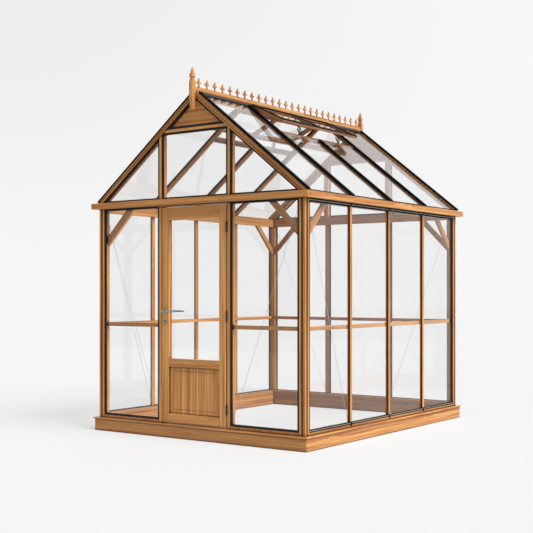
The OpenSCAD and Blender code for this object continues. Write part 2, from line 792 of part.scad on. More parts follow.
// The fixed part of each hinge: outer knuckles, their pin and a plate on the door post
module frame_hinges() {
    color("black") on_front() for (z = hinge_heights) {
        third = hinge_h / 3;
        for (k = [[z - hinge_h / 2, z - third / 2], [z + third / 2, z + hinge_h / 2]]) {
            knuckle(k);
            block([hinge_axis_x, hinge_axis_x + 22], [-plate_t, 0], k);
        }
        translate([hinge_axis_x, -knuckle_r, z - hinge_h / 2]) cylinder(h = hinge_h, r = knuckle_r / 2);
    }
}

// The moving part of each hinge: the middle knuckle and a plate on the stile
module door_hinges() {
    color("black") on_front() for (z = hinge_heights) {
        part = [z - hinge_h / 6 + hinge_gap, z + hinge_h / 6 - hinge_gap];
        difference() {
            union() {
                knuckle(part);
                block([hinge_axis_x - 22, hinge_axis_x], [-plate_t, 0], part);
            }
            translate([hinge_axis_x, -knuckle_r, part[0] - 1])
                cylinder(h = part[1] - part[0] + 2, r = knuckle_r / 2 + hinge_gap / 2);
        }
    }
}

plinth_front();
plinth_back();
plinth_left();
plinth_right();
sill_rails();
corner_posts();
door_posts();
wall_studs();
inner_rails();
knee_braces();
eave_front();
eave_back();
eave_left();
eave_right();
rakes_front();
rakes_back();
gable_studs();
gable_collars();
gable_panels();
ridge_beam();
ridge_flashing();
ridge_capping();
ridge_cresting();
finials();
rafters();
roof_bar_caps();
roof_glass();
vent_trimmers();
vent_sashes();
vent_glass();
vent_openers();
wall_glass_front();
wall_glass_back();
wall_glass_left();
wall_glass_right();
gable_glass();
wall_seals();
gable_seals();
bracing_wires();
door_head();
frame_hinges();
door_stiles();
door_rails();
door_panel();
door_glass();
door_roses();
door_levers();
door_hinges();
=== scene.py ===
"""Timber greenhouse: the finish of every piece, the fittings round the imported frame, light and camera."""
import json
import math
import random
import bmesh
import bpy
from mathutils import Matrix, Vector

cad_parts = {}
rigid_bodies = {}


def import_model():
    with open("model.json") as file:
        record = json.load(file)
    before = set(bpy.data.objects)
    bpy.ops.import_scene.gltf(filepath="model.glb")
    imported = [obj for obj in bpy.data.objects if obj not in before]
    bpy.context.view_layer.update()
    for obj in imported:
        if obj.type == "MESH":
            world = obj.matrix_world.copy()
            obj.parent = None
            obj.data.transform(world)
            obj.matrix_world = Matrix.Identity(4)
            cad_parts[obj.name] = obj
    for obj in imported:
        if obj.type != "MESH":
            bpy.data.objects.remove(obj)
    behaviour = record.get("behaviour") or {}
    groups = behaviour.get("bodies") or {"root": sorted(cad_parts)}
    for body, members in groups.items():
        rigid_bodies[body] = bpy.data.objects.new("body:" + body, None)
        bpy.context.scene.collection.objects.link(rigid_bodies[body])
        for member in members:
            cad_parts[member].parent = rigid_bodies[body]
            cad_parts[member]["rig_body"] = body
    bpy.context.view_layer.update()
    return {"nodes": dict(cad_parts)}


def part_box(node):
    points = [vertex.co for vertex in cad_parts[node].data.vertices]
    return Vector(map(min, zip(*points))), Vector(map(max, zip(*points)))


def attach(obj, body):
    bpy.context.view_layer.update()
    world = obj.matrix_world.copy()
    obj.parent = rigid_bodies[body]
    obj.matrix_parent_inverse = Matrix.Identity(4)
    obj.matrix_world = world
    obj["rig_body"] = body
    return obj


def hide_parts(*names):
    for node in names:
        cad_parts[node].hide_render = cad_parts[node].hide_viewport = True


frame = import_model()
bpy.ops.object.select_all(action="DESELECT")

MM = 0.001
SIDES = (-1, 1)
BACKDROP = "#F7F7F7"

# Sizes of the frame that its boxes don't give
PITCH = math.radians(38.5)  # slope of the roof
BAY = 675 * MM  # from one mullion to the next
FLUTE_DEPTH = 8 * MM  # of the flutes down each corner post
GROOVE_DEPTH = 3 * MM  # of the groove along each rake
INDOORS = 1118 * MM, 1368 * MM  # timber within this x and y lies behind the glass

# Places on the frame that finishes and fittings are set out from
leaf_low, leaf_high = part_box("door_stiles")
roof_low, roof_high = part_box("roof_glass")
post_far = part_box("corner_posts")[1]
rake_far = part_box("rakes_back")[1].y
apex = roof_low.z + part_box("rafters")[1].x * math.tan(PITCH)
RAKE_SHADOW = 1 * MM, 9 * MM  # below the roof's slope, where a painted shadow line runs along each rake


# ---- colours, nodes and materials ----


def colour(code):
    """The linear colour that a shader takes for an sRGB hex value."""
    parts = [int(code[i : i + 2], 16) / 255 for i in (1, 3, 5)]
    return (*(p / 12.92 if p <= 0.04045 else ((p + 0.055) / 1.055) ** 2.4 for p in parts), 1)


def add(tree, kind, values=None, links=None, **settings):
    """Adds a node with its settings, its own input values, and links from (node, output) pairs."""
    made = tree.nodes.new(kind)
    for name, value in settings.items():
        setattr(made, name, value)
    for name, value in (values or {}).items():
        made.inputs[name].default_value = value
    for name, (source, output) in (links or {}).items():
        tree.links.new(source.outputs[output], made.inputs[name])
    return made


def material(name):
    """A new material and its empty node tree."""
    made = bpy.data.materials.new(name)
    made.use_nodes = True
    made.node_tree.nodes.clear()
    return made, made.node_tree


def red_cedar():
    """Western red cedar, planed and oiled: a warm satin face, straight grain and soft growth bands.

    It reads four attributes that lay_grain stores: grain, tone, inner and sunk, the last two for painted shade."""
    made, tree = material("Red cedar, planed and oiled")
    grain = add(tree, "ShaderNodeAttribute", attribute_name="grain")
    tone = add(tree, "ShaderNodeAttribute", attribute_name="tone")
    # Waves in the grain are metres long and a few centimetres across
    wander = add(tree, "ShaderNodeMapping", {"Scale": (1.1, 12, 12)}, {"Vector": (grain, "Vector")})
    drift = add(tree, "ShaderNodeTexNoise", {"Scale": 1, "Detail": 2, "Roughness": 0.5}, {"Vector": (wander, 0)})
    drawn = add(tree, "ShaderNodeVectorMath", {1: (0, 0.016, 0.016)},
                {0: (drift, "Color"), 2: (grain, "Vector")}, operation="MULTIPLY_ADD")
    # Growth rings 3 mm apart are drawn 10 mm apart, or they wouldn't show at this distance
    rings = add(tree, "ShaderNodeTexWave", {"Scale": math.tau / 20 / 0.010, "Distortion": 1.2, "Detail": 2},
                {"Vector": (drawn, 0)}, wave_type="RINGS", rings_direction="X", wave_profile="SAW")
    # Streaks of late wood, 4 mm across on the saw, are drawn 12 mm across or they would blur into one tone
    stretch = add(tree, "ShaderNodeMapping", {"Scale": (2.2, 80, 80)}, {"Vector": (grain, "Vector")})
    fibres = add(tree, "ShaderNodeTexNoise", {"Scale": 1, "Detail": 4, "Roughness": 0.65}, {"Vector": (stretch, 0)})
    # Broader light and dark bands, 30 mm across
    spread = add(tree, "ShaderNodeMapping", {"Scale": (0.9, 34, 34)}, {"Vector": (grain, "Vector")})
    bands = add(tree, "ShaderNodeTexNoise", {"Scale": 1, "Detail": 2, "Roughness": 0.5}, {"Vector": (spread, 0)})
    fine = add(tree, "ShaderNodeMix", {0: 0.65}, {2: (rings, "Fac"), 3: (fibres, "Fac")})
    figure = add(tree, "ShaderNodeMix", {0: 0.5}, {2: (fine, 0), 3: (bands, "Fac")})
    depth = add(tree, "ShaderNodeMapRange", {"From Min": 0.36, "From Max": 0.65}, {"Value": (figure, 0)})
    face = add(tree, "ShaderNodeMix", {6: colour("#DA9F5A"), 7: colour("#975824")}, {0: (depth, 0)}, data_type="RGBA")
    # Each board is a little lighter or darker than the next
    level = add(tree, "ShaderNodeMapRange", {"From Min": -1, "From Max": 1, "To Min": 0.9, "To Max": 1.08},
                {"Value": (tone, "Fac")})
    toned = add(tree, "ShaderNodeHueSaturation", links={"Color": (face, 2), "Value": (level, 0)})
    # Painted shade: timber indoors, and some boards in shade outdoors, is darkened to a deeper, cooler brown
    inner = add(tree, "ShaderNodeAttribute", attribute_name="inner")
    shade_darkened = add(tree, "ShaderNodeMix", {7: (0.38, 0.30, 0.28, 1)}, {0: (inner, "Fac"), 6: (toned, 0)},
                  data_type="RGBA", blend_type="MULTIPLY")
    # Painted shade: a deep brown darkens grooves, corners and joints, from ambient occlusion and the stored sunk
    # amount
    hollow = add(tree, "ShaderNodeAmbientOcclusion", {"Distance": 24 * MM}, samples=8)
    occlusion_shade = add(tree, "ShaderNodeMapRange", {"From Min": 0.5, "From Max": 0.92, "To Min": 1, "To Max": 0},
                 {"Value": (hollow, "AO")})
    sunk = add(tree, "ShaderNodeAttribute", attribute_name="sunk")
    hollow_shade = add(tree, "ShaderNodeMath", links={0: (occlusion_shade, 0), 1: (sunk, "Fac")}, operation="MAXIMUM")
    oiled_and_shaded = add(tree, "ShaderNodeMix", {7: colour("#3A1B06")}, {0: (hollow_shade, 0), 6: (shade_darkened, 2)}, data_type="RGBA")
    rough = add(tree, "ShaderNodeMapRange", {"To Min": 0.34, "To Max": 0.52}, {"Value": (fine, 0)})
    bump = add(tree, "ShaderNodeBump", {"Strength": 0.25, "Distance": 0.5 * MM}, {"Height": (fine, 0)})
    wood = add(tree, "ShaderNodeBsdfPrincipled", {"IOR": 1.45},
               {"Base Color": (oiled_and_shaded, 2), "Roughness": (rough, 0), "Normal": (bump, 0)})
    add(tree, "ShaderNodeOutputMaterial", links={"Surface": (wood, 0)})
    return made


def speckled(name, base, other, grit, rough, metallic=0.0, shine=0.5):
    """A coated, moulded or cast surface: two near colours in a grain of that size, with the bump of its making."""
    made, tree = material(name)
    place = add(tree, "ShaderNodeTexCoord")
    grains = add(tree, "ShaderNodeTexNoise", {"Scale": 1 / grit, "Detail": 3}, {"Vector": (place, "Object")})
    patches = add(tree, "ShaderNodeTexNoise", {"Scale": 9, "Detail": 2}, {"Vector": (place, "Object")})
    mixed = add(tree, "ShaderNodeMix", {0: 0.5}, {2: (grains, "Fac"), 3: (patches, "Fac")})
    tint = add(tree, "ShaderNodeMix", {6: colour(base), 7: colour(other)}, {0: (mixed, 0)}, data_type="RGBA")
    sheen = add(tree, "ShaderNodeMapRange", {"To Min": rough - 0.08, "To Max": rough + 0.08}, {"Value": (mixed, 0)})
    bump = add(tree, "ShaderNodeBump", {"Strength": 0.1, "Distance": grit / 4}, {"Height": (grains, "Fac")})
    skin = add(tree, "ShaderNodeBsdfPrincipled", {"Metallic": metallic, "Specular IOR Level": shine},
               {"Base Color": (tint, 2), "Roughness": (sheen, 0), "Normal": (bump, 0)})
    add(tree, "ShaderNodeOutputMaterial", links={"Surface": (skin, 0)})
    return made


def brushed_steel():
    """Stainless steel, brushed along the lever: a soft grey metal with fine lines."""
    made, tree = material("Stainless steel, brushed")
    place = add(tree, "ShaderNodeTexCoord")
    lines = add(tree, "ShaderNodeMapping", {"Scale": (40, 900, 900)}, {"Vector": (place, "Object")})
    brushing = add(tree, "ShaderNodeTexNoise", {"Scale": 1, "Detail": 2}, {"Vector": (lines, 0)})
    tint = add(tree, "ShaderNodeMix", {6: colour("#9C9D9D"), 7: colour("#C6C7C7")}, {0: (brushing, "Fac")},
               data_type="RGBA")
    rough = add(tree, "ShaderNodeMapRange", {"To Min": 0.28, "To Max": 0.42}, {"Value": (brushing, "Fac")})
    bump = add(tree, "ShaderNodeBump", {"Strength": 0.1, "Distance": 0.1 * MM}, {"Height": (brushing, "Fac")})
    steel = add(tree, "ShaderNodeBsdfPrincipled", {"Metallic": 1},
                {"Base Color": (tint, 2), "Roughness": (rough, 0), "Normal": (bump, 0)})
    add(tree, "ShaderNodeOutputMaterial", links={"Surface": (steel, 0)})
    return made


def float_glass():
    """Clear float glass: a very faint tint, and reflections that grow towards a grazing view and roll a little."""
    made, tree = material("Float glass, clear")
    place = add(tree, "ShaderNodeTexCoord")
    roll = add(tree, "ShaderNodeTexNoise", {"Scale": 1.6, "Detail": 1}, {"Vector": (place, "Object")})
    film = add(tree, "ShaderNodeTexNoise", {"Scale": 5, "Detail": 4}, {"Vector": (place, "Object")})
    tint = add(tree, "ShaderNodeMix", {6: colour("#FFFFFF"), 7: colour("#FDFDFD")}, {0: (film, "Fac")},
               data_type="RGBA")
    bump = add(tree, "ShaderNodeBump", {"Strength": 0.05, "Distance": 1 * MM}, {"Height": (roll, "Fac")})
    clear = add(tree, "ShaderNodeBsdfTransparent", links={"Color": (tint, 2)})
    mirror = add(tree, "ShaderNodeBsdfGlossy", {"Roughness": 0, "Color": (0.9, 0.9, 0.9, 1)}, {"Normal": (bump, 0)})
    # 4 % is mirrored head on, and all of it edge on
    facing = add(tree, "ShaderNodeLayerWeight", {"Blend": 0.5})
    rise = add(tree, "ShaderNodeMath", {1: 5}, {0: (facing, "Facing")}, operation="POWER")
    share = add(tree, "ShaderNodeMath", {1: 0.96, 2: 0.04}, {0: (rise, 0)}, operation="MULTIPLY_ADD")
    pane = add(tree, "ShaderNodeMixShader", links={0: (share, 0), 1: (clear, 0), 2: (mirror, 0)})
    add(tree, "ShaderNodeOutputMaterial", links={"Surface": (pane, 0)})
    return made


CEDAR = red_cedar()
GLASS = float_glass()
STEEL = brushed_steel()
# Extruded rubber: near black with a soft cool sheen on its lips
RUBBER = speckled("Rubber glazing seal, extruded", "#0A0E0E", "#151B1B", 1.5 * MM, 0.42, shine=0.3)
# Powder-coated aluminium: fine orange-peel texture, black
COATED = speckled("Aluminium, powder coated black", "#060707", "#0C0E0E", 1.2 * MM, 0.46, shine=0.03)
# Rolled flashing in dark slate: a smoother coat that takes more of the sky
FLASHING = speckled("Aluminium flashing, coated slate", "#12181A", "#242B2D", 2 * MM, 0.36, shine=0.2)
# Aluminium channel in a plain pale grey, a painted highlight line between the black strips
PAINTED_HIGHLIGHT = speckled("Aluminium, mill finish", "#8B9190", "#A7ACAB", 1.5 * MM, 0.4)
# Cast iron, painted black: rougher, and a little dusty
IRON = speckled("Iron, painted black", "#131211", "#232120", 1 * MM, 0.5)
# Galvanised wire: bright grey
WIRE = speckled("Steel wire, galvanised", "#A9AAAA", "#C6C7C7", 0.6 * MM, 0.35, metallic=1.0)


# ---- modelling ----


def lone(piece):
    """Makes piece the only selected object, and the active one."""
    bpy.ops.object.select_all(action="DESELECT")
    piece.select_set(True)
    bpy.context.view_layer.objects.active = piece


def edit(piece):
    """Opens a piece in edit mode with all of it selected."""
    lone(piece)
    bpy.ops.object.mode_set(mode="EDIT")
    bpy.ops.mesh.select_all(action="SELECT")


def leave():
    """Goes back to object mode."""
    bpy.ops.object.mode_set(mode="OBJECT")


def pick(kind, test):
    """Selects those elements, VERT or FACE, of the piece in edit mode that pass the test."""
    bpy.ops.mesh.select_mode(type=kind)
    bpy.ops.mesh.select_all(action="DESELECT")
    data = bpy.context.object.data
    mesh = bmesh.from_edit_mesh(data)
    for element in {"VERT": mesh.verts, "FACE": mesh.faces}[kind]:
        if test(element):
            element.select_set(True)
    mesh.select_flush_mode()
    bmesh.update_edit_mesh(data)


def modify(piece, kind, **settings):
    """Adds a modifier with its settings, and applies it."""
    made = piece.modifiers.new(kind.lower(), kind)
    for name, value in settings.items():
        setattr(made, name, value)
    lone(piece)
    bpy.ops.object.modifier_apply(modifier=made.name)


def eased(piece, width, segments=2):
    """Takes the sharpness off every arris."""
    modify(piece, "BEVEL", width=width, segments=segments, limit_method="ANGLE", angle_limit=math.radians(28))
    return piece


def smoothed(piece):
    """Shades its round faces smooth, and keeps its corners sharp."""
    lone(piece)
    bpy.ops.object.shade_smooth_by_angle(angle=math.radians(40))
    return piece


def block(low, high, name="block"):
    """A box between two corners, its place in its mesh."""
    low, high = Vector(low), Vector(high)
    bpy.ops.mesh.primitive_cube_add(size=1, location=(low + high) / 2)
    piece = bpy.context.object
    piece.scale = high - low
    return fixed(piece, name)


def fixed(piece, name):
    """Puts a new piece's place, turn and size into its mesh, and names it."""
    lone(piece)
    bpy.ops.object.transform_apply(location=True, rotation=True, scale=True)
    piece.name = piece.data.name = name
    return piece


def rod(start, end, radius):
    """A round bar between two points."""
    start, end = Vector(start), Vector(end)
    run = end - start
    turn = run.to_track_quat("Z", "Y").to_euler()
    bpy.ops.mesh.primitive_cylinder_add(
        vertices=16, radius=radius, depth=run.length, location=(start + end) / 2, rotation=turn)
    return fixed(bpy.context.object, "rod")


def joined(pieces, name):
    """Several pieces as one."""
    lone(pieces[0])
    for piece in pieces[1:]:
        piece.select_set(True)
    bpy.ops.object.join()
    pieces[0].name = pieces[0].data.name = name
    return pieces[0]


def copied(node, ending):
    """A copy of a CAD node as a new piece, its loose triangles merged into whole flat faces."""
    mesh = frame["nodes"][node].data.copy()
    mesh.materials.clear()
    piece = bpy.data.objects.new(node + ending, mesh)
    bpy.context.scene.collection.objects.link(piece)
    edit(piece)
    bpy.ops.mesh.remove_doubles(threshold=0.02 * MM)
    bpy.ops.mesh.dissolve_limited(angle_limit=math.radians(0.5))
    bpy.ops.mesh.customdata_custom_splitnormals_clear()
    leave()
    lone(piece)
    bpy.ops.object.shade_flat()
    return piece


def cut(piece, planes):
    """Cuts the faces along planes, each a point and a normal, so that its boards are faces of their own."""
    edit(piece)
    for point, normal in planes:
        bpy.ops.mesh.select_all(action="SELECT")
        bpy.ops.mesh.bisect(plane_co=point, plane_no=normal)
    leave()


def settle(piece, body, slot, finish, *nodes):
    """Gives a finished piece its material and its body, in place of the CAD nodes named. Its slot is not used."""
    piece.data.materials.clear()
    piece.data.materials.append(finish)
    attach(piece, body)
    if nodes:
        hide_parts(*nodes)


# ---- timber ----

SLOPE = math.cos(PITCH), math.sin(PITCH)
X, Y, Z = Vector((1, 0, 0)), Vector((0, 1, 0)), Vector((0, 0, 1))
# The ways that a straight timber may run
RUNS = [X, Y, Z, *(Vector((SLOPE[0], 0, s * SLOPE[1])) for s in SIDES),
        *(Vector((1, 0, s)).normalized() for s in SIDES), *(Vector((0, 1, s)).normalized() for s in SIDES)]


def members(mesh):
    """The mesh's faces, one list for each solid."""
    owner = list(range(len(mesh.vertices)))

    def root(i):
        while owner[i] != i:
            owner[i] = owner[owner[i]]
            i = owner[i]
        return i

    for edge in mesh.edges:
        owner[root(edge.vertices[0])] = root(edge.vertices[1])
    found = {}
    for face in mesh.polygons:
        found.setdefault(root(face.vertices[0]), []).append(face)
    return list(found.values())


def reach(points, run):
    """How far the points go along a direction."""
    places = [p.dot(run) for p in points]
    return max(places) - min(places)


def below_slope(at):
    """How far a point lies under the plane of the roof."""
    return (apex - abs(at.x) * math.tan(PITCH) - at.z) * math.cos(PITCH)


def depth_inside(face):
    """Painted shade, as if in shadow indoors: none outdoors, most on faces that look to the front from far in."""
    at, way = face.center, face.normal
    if abs(at.x) > INDOORS[0] or abs(at.y) > INDOORS[1] or below_slope(at) < 6 * MM:
        return 0
    if way.y < -0.5:
        far_in = (at.y - leaf_low.y) / (2 * abs(leaf_low.y))  # 0 at the door, 1 at the back wall
        return 0.4 + 0.4 * far_in
    return 0.45 if way.z < -0.5 else 0.1


def in_groove(face):
    """Painted shade in hollows: plenty in a post's flutes, in the groove along a rake and in the shadow line under
    its top.
    """
    x, y = abs(face.center.x), abs(face.center.y)
    across, along = abs(face.normal.x) > 0.9, abs(face.normal.y) > 0.9
    shadow = RAKE_SHADOW[0] < below_slope(face.center) < RAKE_SHADOW[1]
    if along and shadow and y > rake_far - 1 * MM:
        return 0.92
    floors = [(along, y, post_far.y - FLUTE_DEPTH), (along, y, rake_far - GROOVE_DEPTH),
              (across, x, post_far.x - FLUTE_DEPTH)]
    return 0.85 * any(level and abs(at - floor) < 0.2 * MM for level, at, floor in floors)


def lay_grain(piece, board_of=None, stain=0):
    """Stores what the cedar needs at each corner: where it lies in its own timber, and how much painted shade it
    gets.

    grain is the place along and across the timber in metres, tone is the timber's own shade from -1 to 1, inner is
    the painted shade of timber indoors or in shadow, which is stain or more, and sunk is the painted shade in its
    grooves and hollows. board_of gives a face's board and the way it runs, where one solid is made of several boards."""
    mesh = piece.data
    chance = random.Random(piece.name)
    kinds = {"grain": "FLOAT_VECTOR", "tone": "FLOAT", "inner": "FLOAT", "sunk": "FLOAT"}
    for name, kind in kinds.items():
        mesh.attributes.new(name, kind, "CORNER")
    # Fetched only when all four are there, because a new one moves the others
    grain, tone, inner, sunk = (mesh.attributes[name] for name in kinds)
    for solid in members(mesh):
        boards = {}
        for face in solid:
            boards.setdefault(board_of(face.center) if board_of else (0, None), []).append(face)
        for (_, run), faces in sorted(boards.items(), key=lambda item: str(item[0])):
            points = [mesh.vertices[i].co for face in faces for i in face.vertices]
            run = Vector(run) if run else max(RUNS, key=lambda way: reach(points, way))
            side = run.cross(Z if abs(run.z) < 0.9 else Y).normalized()
            rise = run.cross(side)
            # The tree's middle lies 120 to 200 mm away, in any direction
            turn, away = chance.uniform(0, math.tau), chance.uniform(0.12, 0.2)
            start = Vector((chance.uniform(-9, 9), away * math.cos(turn), away * math.sin(turn)))
            middle = sum(points, Vector()) / len(points)
            shade = chance.uniform(-1, 1)
            for face in faces:
                for loop in face.loop_indices:
                    at = mesh.vertices[mesh.loops[loop].vertex_index].co - middle
                    grain.data[loop].vector = start + Vector((at.dot(run), at.dot(side), at.dot(rise)))
                    tone.data[loop].value = shade
                    inner.data[loop].value = max(stain, depth_inside(face))
                    sunk.data[loop].value = in_groove(face)


def timber(node, ease, board_of=None, planes=(), stain=0):
    """A CAD timber with its arrises rounded by ease and its own grain, after its faces are cut along the planes."""
    piece = copied(node, "_timber")
    if planes:
        cut(piece, planes)
    eased(piece, ease)
    lay_grain(piece, board_of, stain)
    settle(piece, frame["nodes"][node]["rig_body"], "cedar", CEDAR, node)


# How far arrises are rounded, the least painted shade, and the timbers finished so. The vent trimmers and the last
# three rows, rails and boards that look darker than the walls from in front as they lie in shade, get painted shade
FINISHES = [
    (3 * MM, 0, ("plinth_back", "plinth_left", "plinth_right", "eave_back", "eave_left", "eave_right",
                 "knee_braces", "ridge_capping")),
    (2 * MM, 0, ("corner_posts", "door_posts", "inner_rails", "rafters", "ridge_beam", "door_stiles", "door_rails",
                 "door_head")),
    (1.5 * MM, 0, ("wall_studs", "gable_studs", "gable_collars")),
    (2 * MM, 1, ("vent_trimmers",)),
    (1.5 * MM, 0.35, ("sill_rails",)),
    (3 * MM, 0.3, ("plinth_front",)),
    (3 * MM, 0.25, ("eave_front",)),
]
for ease, stain, nodes in FINISHES:
    for node in nodes:
        timber(node, ease, stain=stain)

# The rakes are cut along both edges of their painted shadow line
slope_ways = [Vector((side * SLOPE[1], 0, SLOPE[0])) for side in SIDES]
for node in ("rakes_front", "rakes_back"):
    timber(node, 1.5 * MM, planes=[(apex * Z - deep * way, way) for way in slope_ways for deep in RAKE_SHADOW])


# ---- roof vents ----

SASH_BAR = 40 * MM
sash_low, sash_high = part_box("vent_sashes")
sash_edge = sash_high.y - SASH_BAR
sash_tilt = math.atan2(sash_high.z - sash_low.z, sash_high.x)


def sash_board(at):
    """Stiles and the middle bar run down the slope, and the rails between them run along the ridge."""
    if abs(at.y) > sash_edge or abs(at.y) < SASH_BAR / 2:
        side = math.copysign(1, at.x)
        return ("stile", side, round(at.y / sash_edge)), (math.cos(sash_tilt), 0, -side * math.sin(sash_tilt))
    return ("rail", round(abs(at.x) > sash_high.x / 2)), (0, 1, 0)


sash_joints = -sash_edge, -SASH_BAR / 2, SASH_BAR / 2, sash_edge
# The sashes get painted shade, as if their timbers lay in shadow
timber("vent_sashes", 2 * MM, sash_board, [((0, y, 0), Y) for y in sash_joints], stain=0.7)


# ---- ridge ----

timber("ridge_cresting", 1.2 * MM, lambda at: (0, (0, 1, 0)))
timber("finials", 1.5 * MM, lambda at: (0, (0, 0, 1)))


# ---- panels ----

GABLE_BOARD = 95 * MM
DOOR_BOARD = 47 * MM  # about this wide, so that whole boards fill the panel
FIELD_EDGE = 34 * MM  # from the panel's edge to the line round its field


def gable_boards():
    """The triangle above each collar, in three level boards."""
    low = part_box("gable_panels")[0].z
    timber("gable_panels", 1 * MM, lambda at: (int((at.z - low) / GABLE_BOARD), (1, 0, 0)),
           [((0, 0, low + n * GABLE_BOARD), Z) for n in (1, 2)])


def fielded_panel():
    """The door's lower panel: upright boards with a sunk line round a plain field on both faces."""
    low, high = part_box("door_panel")
    piece = block(low, high, "door_panel_fielded")
    edit(piece)
    pick("FACE", lambda face: abs(face.normal.y) > 0.9)
    for width, rise in ((FIELD_EDGE, 0), (3 * MM, -3 * MM), (4 * MM, 2.5 * MM)):
        bpy.ops.mesh.inset(thickness=width, depth=rise)
    leave()
    count = round((high.x - low.x) / DOOR_BOARD)
    wide = (high.x - low.x) / count
    cut(piece, [((low.x + n * wide, 0, 0), X) for n in range(1, count)])
    lay_grain(piece, lambda at: (int((at.x - low.x) / wide), (0, 0, 1)))
    settle(piece, "door", "cedar", CEDAR, "door_panel")


gable_boards()
fielded_panel()


# ---- glass, seals and metal ----

GLASS_NODES = ("vent_glass", "roof_glass", "gable_glass", "door_glass",
               "wall_glass_front", "wall_glass_back", "wall_glass_left", "wall_glass_right")


def coat(node, finish):
    """Gives a CAD node its material, and leaves its shape as it is."""
    for place in frame["nodes"][node].material_slots:
        place.material = finish


for node in GLASS_NODES:
    coat(node, GLASS)
    frame["nodes"][node].visible_shadow = False
coat("bracing_wires", WIRE)


def wall_seals():
    """The seals of the walls. Beside a mullion they are only a lip, and the mullion's own side shows."""
    seal_edge, narrowing = 35 * MM, 17 * MM
    piece = copied("wall_seals", "_lipped")
    edit(piece)
    for middle in (-BAY, 0, BAY):
        for side in SIDES:
            edge = middle + side * seal_edge
            pick("VERT", lambda v: abs(v.co.y - edge) < 1 * MM)
            bpy.ops.transform.translate(value=(0, -side * narrowing, 0))
    leave()
    settle(eased(piece, 1.2 * MM), "greenhouse", "seal", RUBBER, "wall_seals")


def wall_strips():
    """Black strips round a pale channel, a painted highlight line, at the glass's heads and feet in both side walls.

    They lie across the mullions, and a small drip hangs under each mullion."""
    low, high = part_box("wall_glass_right")
    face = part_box("wall_studs")[1].x

    def strip(pieces, side, ends, depths, heights):
        """Adds a bar to pieces. Its depths are counted outwards from the mullions' faces."""
        across = sorted(side * (face + depth) for depth in depths)
        pieces.append(block((across[0], ends[0], heights[0]), (across[1], ends[1], heights[1])))

    ends = low.y, high.y
    proud, sunk = (-6 * MM, 3 * MM), (-9 * MM, 0)  # depths of the black strips, and of the channel between them
    heads, lips, feet = [], [], []
    for side in SIDES:
        strip(heads, side, ends, proud, (high.z - 11 * MM, high.z))
        strip(heads, side, ends, proud, (high.z - 28 * MM, high.z - 18 * MM))
        strip(lips, side, ends, sunk, (high.z - 20 * MM, high.z - 9 * MM))
        strip(feet, side, ends, proud, (low.z, low.z + 8 * MM))
        strip(feet, side, ends, proud, (low.z + 14 * MM, low.z + 22 * MM))
        strip(lips, side, ends, sunk, (low.z + 6 * MM, low.z + 16 * MM))
        for middle in (-BAY, 0, BAY):
            strip(feet, side, (middle - 9 * MM, middle + 9 * MM), (0, 3 * MM), (low.z - 16 * MM, low.z - 2 * MM))
    settle(eased(joined(heads, "head_strips"), 2.5 * MM, 3), "greenhouse", "black_metal", COATED)
    settle(eased(joined(lips, "drip_lips"), 1 * MM), "greenhouse", "black_metal", PAINTED_HIGHLIGHT)
    settle(eased(joined(feet, "foot_strips"), 2 * MM, 3), "greenhouse", "black_metal", COATED)


def roof_feet():
    """A black strip on each eave board, where the roof glass comes down to it."""
    strips = []
    for side in SIDES:
        across = sorted(side * (roof_high.x + step) for step in (-12 * MM, 22 * MM))
        strips.append(block((across[0], roof_low.y, roof_low.z), (across[1], roof_high.y, roof_low.z + 11 * MM)))
    settle(eased(joined(strips, "roof_foot_strips"), 2 * MM, 3), "greenhouse", "black_metal", COATED)


def sash_caps():
    """Black capping on the top of every sash timber, thick enough to show as a line from the ground."""
    piece = copied("vent_sashes", "_capping")
    edit(piece)
    pick("FACE", lambda face: face.normal.z < 0.9)
    bpy.ops.mesh.delete(type="FACE")
    leave()
    modify(piece, "SOLIDIFY", thickness=11 * MM, offset=1)
    settle(eased(piece, 2 * MM), "greenhouse", "black_metal", COATED)


def hinges():
    """Butt hinges: two thin leaves folded into the gap beside the door, and a barrel in three knuckles."""
    low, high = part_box("frame_hinges")
    axis = (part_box("door_hinges")[1].x + low.x) / 2, (low.y + high.y) / 2
    half, knuckle = 45 * MM, 15 * MM  # from the hinge's middle to its end, and to the end of its middle knuckle
    barrel, play = 5.5 * MM, 0.4 * MM
    leaf_from, leaf_to, leaf_width = 1 * MM, 2.8 * MM, 26 * MM
    frame_parts, door_parts = [], []
    for middle in (low.z + half, (leaf_low.z + leaf_high.z) / 2, high.z - half):
        for side in SIDES:
            ends = sorted((middle + side * knuckle, middle + side * half))
            frame_parts.append(rod((*axis, ends[0]), (*axis, ends[1]), barrel))
        door_parts.append(rod((*axis, middle - knuckle + play), (*axis, middle + knuckle - play), barrel))
        for parts, side in ((frame_parts, 1), (door_parts, -1)):
            edge = sorted((axis[0] + side * leaf_from, axis[0] + side * leaf_to))
            parts.append(block((edge[0], axis[1], middle - half), (edge[1], axis[1] + leaf_width, middle + half)))
    for parts, body, node in ((frame_parts, "greenhouse", "frame_hinges"), (door_parts, "door", "door_hinges")):
        settle(smoothed(eased(joined(parts, node + "_butt"), 0.8 * MM)), body, "black_iron", IRON, node)


def lock_parts():
    """Black discs on both faces of the door: one darkens the keyhole as painted shade and rims it, one is the lever's
    collar.
    """
    low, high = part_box("door_roses")
    lever_low, lever_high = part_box("door_levers")
    middle = (low.x + high.x) / 2
    proud = 1.5 * MM
    keyhole = low.z + 18.4 * MM, 9 * MM  # its height and the radius of its painted shade disc
    spindle = (lever_low.z + lever_high.z) / 2, 13 * MM  # its height and the collar's radius
    parts = [rod((middle, low.y - proud, z), (middle, high.y + proud, z), radius) for z, radius in (keyhole, spindle)]
    settle(smoothed(joined(parts, "lock_rims")), "door", "black_iron", IRON)


